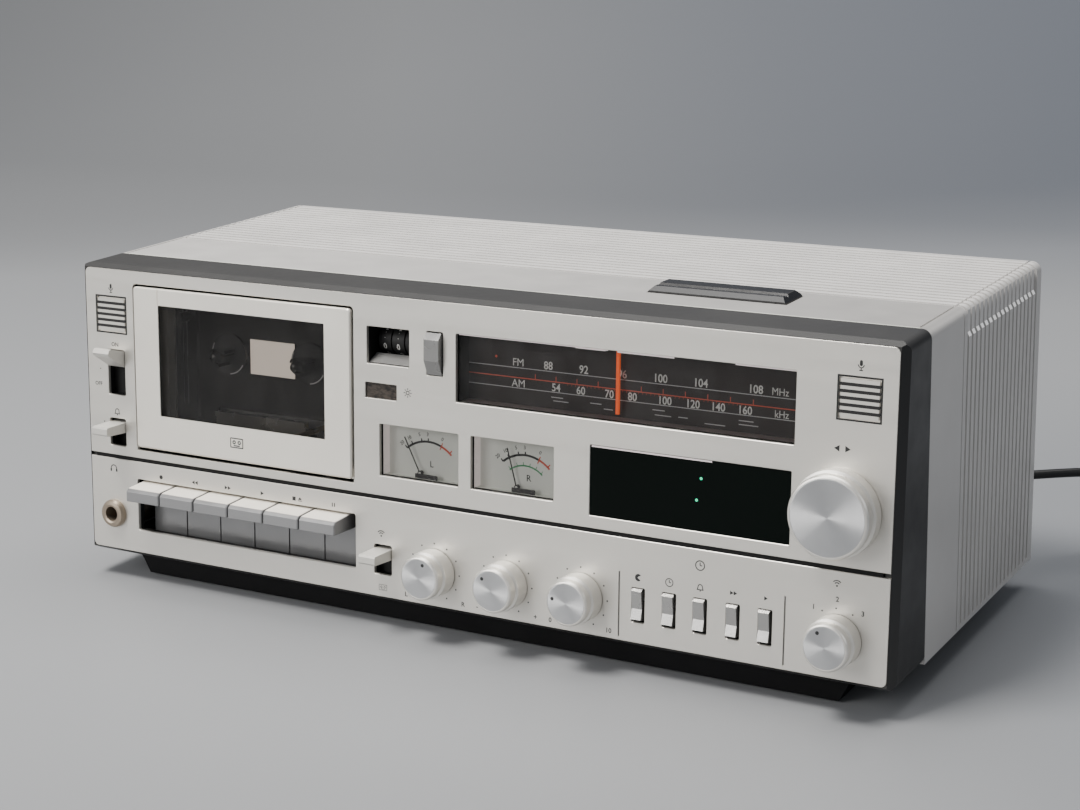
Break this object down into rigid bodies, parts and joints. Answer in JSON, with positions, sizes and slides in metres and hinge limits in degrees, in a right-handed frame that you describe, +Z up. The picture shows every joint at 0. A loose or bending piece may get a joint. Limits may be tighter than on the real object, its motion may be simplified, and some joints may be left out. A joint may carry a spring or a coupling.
{
  "type": "cassette clock radio",
  "caption": "Wide tabletop clock radio with a front-loading cassette deck, piano keys, tuning dial, clock display, level meters, knobs, slide switches and a ribbed cabinet.",
  "frame": {"origin": "middle of the radio's footprint, on the surface it stands on", "axes": "+X to the right along the front, +Y from the front to the back, +Z up; the fascia leans back by 4 degrees"},
  "size_m": [0.5105, 0.2619, 0.1436],
  "materials": {
    "cabinet_ivory": "satin moulded, warm light grey",
    "frame_charcoal": "satin moulded, charcoal",
    "plinth_black": "matte black",
    "foot_rubber": "matte",
    "screw_steel": "zinc plated",
    "fascia_aluminium": "satin brushed with bright bevelled edges",
    "door_champagne": "satin metallic champagne silver",
    "window_smoke": "clear, slightly smoked",
    "clear_acrylic": "clear",
    "display_filter": "dark green filter, gloss",
    "well_black": "matte black",
    "deck_steel": "zinc plated",
    "head_metal": "bare",
    "roller_rubber": "matte",
    "spindle_black": "semi-gloss",
    "flywheel_brass": "turned",
    "belt_rubber": "matte",
    "key_silver": "satin silver with pale top inlay",
    "drum_black": "matte black with white numerals",
    "button_silver": "satin metallic",
    "dial_dark": "satin dark brown with pale scale",
    "pointer_orange": "gloss",
    "meter_face": "matte pale grey-green",
    "needle_black": "matte",
    "knob_aluminium": "turned and spun face",
    "jack_bronze": "dull bronze",
    "snooze_black": "gloss black",
    "board_brown": "phenolic board",
    "core_steel": "varnished laminations",
    "speaker_steel": "painted",
    "cord_black": "soft vinyl"
  },
  "bodies": {
    "cabinet": {"cabinet_shell": "cabinet_ivory", "back_cover": "plinth_black", "screws": "screw_steel", "base_tray": "plinth_black", "rubber_feet": "foot_rubber", "front_bezel": "frame_charcoal", "front_wall": "frame_charcoal", "upper_fascia": "fascia_aluminium", "lower_fascia": "fascia_aluminium", "cassette_well": "well_black", "deck_plate": "deck_steel", "tape_motor": "screw_steel", "drive_belt": "belt_rubber", "dial_plate": "dial_dark", "display_lens": "display_filter", "meter_cases": "meter_face", "dial_and_meter_lenses": "clear_acrylic", "headphone_jack": "jack_bronze", "circuit_boards": "board_brown", "transformer": "core_steel", "speakers": "speaker_steel", "strain_relief": "cord_black", "mains_cord": "cord_black", "cord_coil": "cord_black", "mains_plug": "cord_black"},
    "door": {"cassette_door": "door_champagne", "door_window": "window_smoke"},
    "head_sled": {"head_sled": "head_metal"},
    "pinch_roller": {"pinch_roller": "roller_rubber"},
    "supply_spindle": {"supply_spindle": "spindle_black"},
    "takeup_spindle": {"takeup_spindle": "spindle_black"},
    "capstan_flywheel": {"capstan_flywheel": "flywheel_brass"},
    "motor_pulley": {"motor_pulley": "flywheel_brass"},
    "record_key": {"record_key": "key_silver"},
    "rewind_key": {"rewind_key": "key_silver"},
    "forward_key": {"forward_key": "key_silver"},
    "play_key": {"play_key": "key_silver"},
    "stop_eject_key": {"stop_eject_key": "key_silver"},
    "pause_key": {"pause_key": "key_silver"},
    "counter_hundreds": {"counter_hundreds": "drum_black"},
    "counter_tens": {"counter_tens": "drum_black"},
    "counter_units": {"counter_units": "drum_black"},
    "counter_reset_bar": {"counter_reset_bar": "button_silver"},
    "dial_pointer": {"dial_pointer": "pointer_orange"},
    "left_meter_needle": {"left_meter_needle": "needle_black"},
    "right_meter_needle": {"right_meter_needle": "needle_black"},
    "balance_knob": {"balance_knob": "knob_aluminium"},
    "tone_knob": {"tone_knob": "knob_aluminium"},
    "volume_knob": {"volume_knob": "knob_aluminium"},
    "band_knob": {"band_knob": "knob_aluminium"},
    "tuning_knob": {"tuning_knob": "knob_aluminium"},
    "power_switch_lever": {"power_switch_lever": "key_silver"},
    "alarm_switch_lever": {"alarm_switch_lever": "key_silver"},
    "function_switch_lever": {"function_switch_lever": "key_silver"},
    "sleep_button": {"sleep_button": "button_silver"},
    "time_button": {"time_button": "button_silver"},
    "alarm_set_button": {"alarm_set_button": "button_silver"},
    "fast_button": {"fast_button": "button_silver"},
    "slow_button": {"slow_button": "button_silver"},
    "snooze_bar": {"snooze_bar": "snooze_black"}
  },
  "joints": [
    {"name": "door_hinge", "type": "hinge", "parent": "cabinet", "child": "door", "pos_m": [-0.10315, -0.07103, 0.06317], "axis": [1, 0, 0], "range_deg": [0, 35]},
    {"name": "record_key_pivot", "type": "hinge", "parent": "cabinet", "child": "record_key", "pos_m": [-0.15052, -0.055, 0.03428], "axis": [1, 0, 0], "range_deg": [0, 9], "stiffness_Nm_per_rad": 1, "springref_deg": -3.44},
    {"name": "rewind_key_pivot", "type": "hinge", "parent": "cabinet", "child": "rewind_key", "pos_m": [-0.13203, -0.055, 0.03428], "axis": [1, 0, 0], "range_deg": [0, 9], "stiffness_Nm_per_rad": 1, "springref_deg": -3.44},
    {"name": "forward_key_pivot", "type": "hinge", "parent": "cabinet", "child": "forward_key", "pos_m": [-0.11353, -0.055, 0.03428], "axis": [1, 0, 0], "range_deg": [0, 9], "stiffness_Nm_per_rad": 1, "springref_deg": -3.44},
    {"name": "play_key_pivot", "type": "hinge", "parent": "cabinet", "child": "play_key", "pos_m": [-0.09502, -0.055, 0.03428], "axis": [1, 0, 0], "range_deg": [0, 9], "stiffness_Nm_per_rad": 1, "springref_deg": -3.44},
    {"name": "stop_eject_key_pivot", "type": "hinge", "parent": "cabinet", "child": "stop_eject_key", "pos_m": [-0.07652, -0.055, 0.03428], "axis": [1, 0, 0], "range_deg": [0, 9], "stiffness_Nm_per_rad": 1, "springref_deg": -3.44},
    {"name": "pause_key_pivot", "type": "hinge", "parent": "cabinet", "child": "pause_key", "pos_m": [-0.05803, -0.055, 0.03428], "axis": [1, 0, 0], "range_deg": [0, 9], "stiffness_Nm_per_rad": 1, "springref_deg": -3.44},
    {"name": "head_sled_lift", "type": "slide", "parent": "cabinet", "child": "head_sled", "axis": [0, 0.0698, 0.9976], "range_m": [0, 0.004]},
    {"name": "supply_spindle_spin", "type": "hinge", "parent": "cabinet", "child": "supply_spindle", "pos_m": [-0.1244, -0.05625, 0.10253], "axis": [0, 0.9976, -0.0698], "continuous": true},
    {"name": "takeup_spindle_spin", "type": "hinge", "parent": "cabinet", "child": "takeup_spindle", "pos_m": [-0.0819, -0.05625, 0.10253], "axis": [0, 0.9976, -0.0698], "continuous": true},
    {"name": "capstan_spin", "type": "hinge", "parent": "cabinet", "child": "capstan_flywheel", "pos_m": [-0.0792, -0.04329, 0.07276], "axis": [0, 0.9976, -0.0698], "continuous": true},
    {"name": "motor_pulley_spin", "type": "hinge", "parent": "cabinet", "child": "motor_pulley", "pos_m": [-0.1425, -0.03438, 0.0569], "axis": [0, 0.9976, -0.0698], "continuous": true},
    {"name": "pinch_roller_spin", "type": "hinge", "parent": "head_sled", "child": "pinch_roller", "pos_m": [-0.0792, -0.06328, 0.06363], "axis": [0, 0.9976, -0.0698], "continuous": true},
    {"name": "counter_units_turn", "type": "hinge", "parent": "cabinet", "child": "counter_units", "pos_m": [-0.0227, -0.05623, 0.11857], "axis": [1, 0, 0], "continuous": true},
    {"name": "counter_tens_turn", "type": "hinge", "parent": "cabinet", "child": "counter_tens", "pos_m": [-0.0291, -0.05623, 0.11857], "axis": [1, 0, 0], "continuous": true},
    {"name": "counter_hundreds_turn", "type": "hinge", "parent": "cabinet", "child": "counter_hundreds", "pos_m": [-0.0355, -0.05623, 0.11857], "axis": [1, 0, 0], "continuous": true},
    {"name": "counter_reset_press", "type": "slide", "parent": "cabinet", "child": "counter_reset_bar", "axis": [0, 0.9976, -0.0698], "range_m": [0, 0.003], "stiffness_N_per_m": 400, "springref_m": -0.001},
    {"name": "tuning_turn", "type": "hinge", "parent": "cabinet", "child": "tuning_knob", "pos_m": [0.1667, -0.07902, 0.07786], "axis": [0, 0.9976, -0.0698], "range_deg": [-584, 664]},
    {"name": "dial_pointer_travel", "type": "slide", "parent": "cabinet", "child": "dial_pointer", "axis": [1, 0, 0], "range_m": [-0.052, 0.059]},
    {"name": "balance_turn", "type": "hinge", "parent": "cabinet", "child": "balance_knob", "pos_m": [-0.0067, -0.08345, 0.02895], "axis": [0, 0.9976, -0.0698], "range_deg": [-163, 127]},
    {"name": "tone_turn", "type": "hinge", "parent": "cabinet", "child": "tone_knob", "pos_m": [0.0271, -0.08344, 0.02905], "axis": [0, 0.9976, -0.0698], "range_deg": [-103, 187]},
    {"name": "volume_turn", "type": "hinge", "parent": "cabinet", "child": "volume_knob", "pos_m": [0.0608, -0.08342, 0.02925], "axis": [0, 0.9976, -0.0698], "range_deg": [-67, 223]},
    {"name": "band_turn", "type": "hinge", "parent": "cabinet", "child": "band_knob", "pos_m": [0.16745, -0.0834, 0.02965], "axis": [0, 0.9976, -0.0698], "range_deg": [0, 58]},
    {"name": "power_switch_slide", "type": "slide", "parent": "cabinet", "child": "power_switch_lever", "axis": [0, 0.0698, 0.9976], "range_m": [-0.0084, 0]},
    {"name": "alarm_switch_slide", "type": "slide", "parent": "cabinet", "child": "alarm_switch_lever", "axis": [0, 0.0698, 0.9976], "range_m": [-0.0054, 0.0014]},
    {"name": "function_switch_slide", "type": "slide", "parent": "cabinet", "child": "function_switch_lever", "axis": [0, 0.0698, 0.9976], "range_m": [-0.0062, 0.0012]},
    {"name": "sleep_button_press", "type": "slide", "parent": "cabinet", "child": "sleep_button", "axis": [0, 0.9976, -0.0698], "range_m": [0, 0.0016], "stiffness_N_per_m": 500, "springref_m": -0.0005},
    {"name": "time_button_press", "type": "slide", "parent": "cabinet", "child": "time_button", "axis": [0, 0.9976, -0.0698], "range_m": [0, 0.0016], "stiffness_N_per_m": 500, "springref_m": -0.0005},
    {"name": "alarm_set_button_press", "type": "slide", "parent": "cabinet", "child": "alarm_set_button", "axis": [0, 0.9976, -0.0698], "range_m": [0, 0.0016], "stiffness_N_per_m": 500, "springref_m": -0.0005},
    {"name": "fast_button_press", "type": "slide", "parent": "cabinet", "child": "fast_button", "axis": [0, 0.9976, -0.0698], "range_m": [0, 0.0016], "stiffness_N_per_m": 500, "springref_m": -0.0005},
    {"name": "slow_button_press", "type": "slide", "parent": "cabinet", "child": "slow_button", "axis": [0, 0.9976, -0.0698], "range_m": [0, 0.0016], "stiffness_N_per_m": 500, "springref_m": -0.0005},
    {"name": "left_needle_swing", "type": "hinge", "parent": "cabinet", "child": "left_meter_needle", "pos_m": [-0.0171, -0.06818, 0.06668], "axis": [0, 0.9976, -0.0698], "range_deg": [-14, 66], "stiffness_Nm_per_rad": 0.00005},
    {"name": "right_needle_swing", "type": "hinge", "parent": "cabinet", "child": "right_meter_needle", "pos_m": [0.0284, -0.06818, 0.06668], "axis": [0, 0.9976, -0.0698], "range_deg": [-26, 55], "stiffness_Nm_per_rad": 0.00005},
    {"name": "snooze_press", "type": "slide", "parent": "cabinet", "child": "snooze_bar", "axis": [0, 0, -1], "range_m": [0, 0.002], "stiffness_N_per_m": 800, "springref_m": -0.001}
  ],
  "couplings": [
    {"joint": "play_key_pivot", "follows": "head_sled_lift", "rad_per_m": 39.26},
    {"joint": "motor_pulley_spin", "follows": "capstan_spin", "ratio": 5.5},
    {"joint": "counter_units_turn", "follows": "takeup_spindle_spin", "ratio": 0.05},
    {"joint": "counter_tens_turn", "follows": "takeup_spindle_spin", "ratio": 0.005},
    {"joint": "counter_hundreds_turn", "follows": "takeup_spindle_spin", "ratio": 0.0005},
    {"joint": "dial_pointer_travel", "follows": "tuning_turn", "m_per_rad": 0.005}
  ]
}
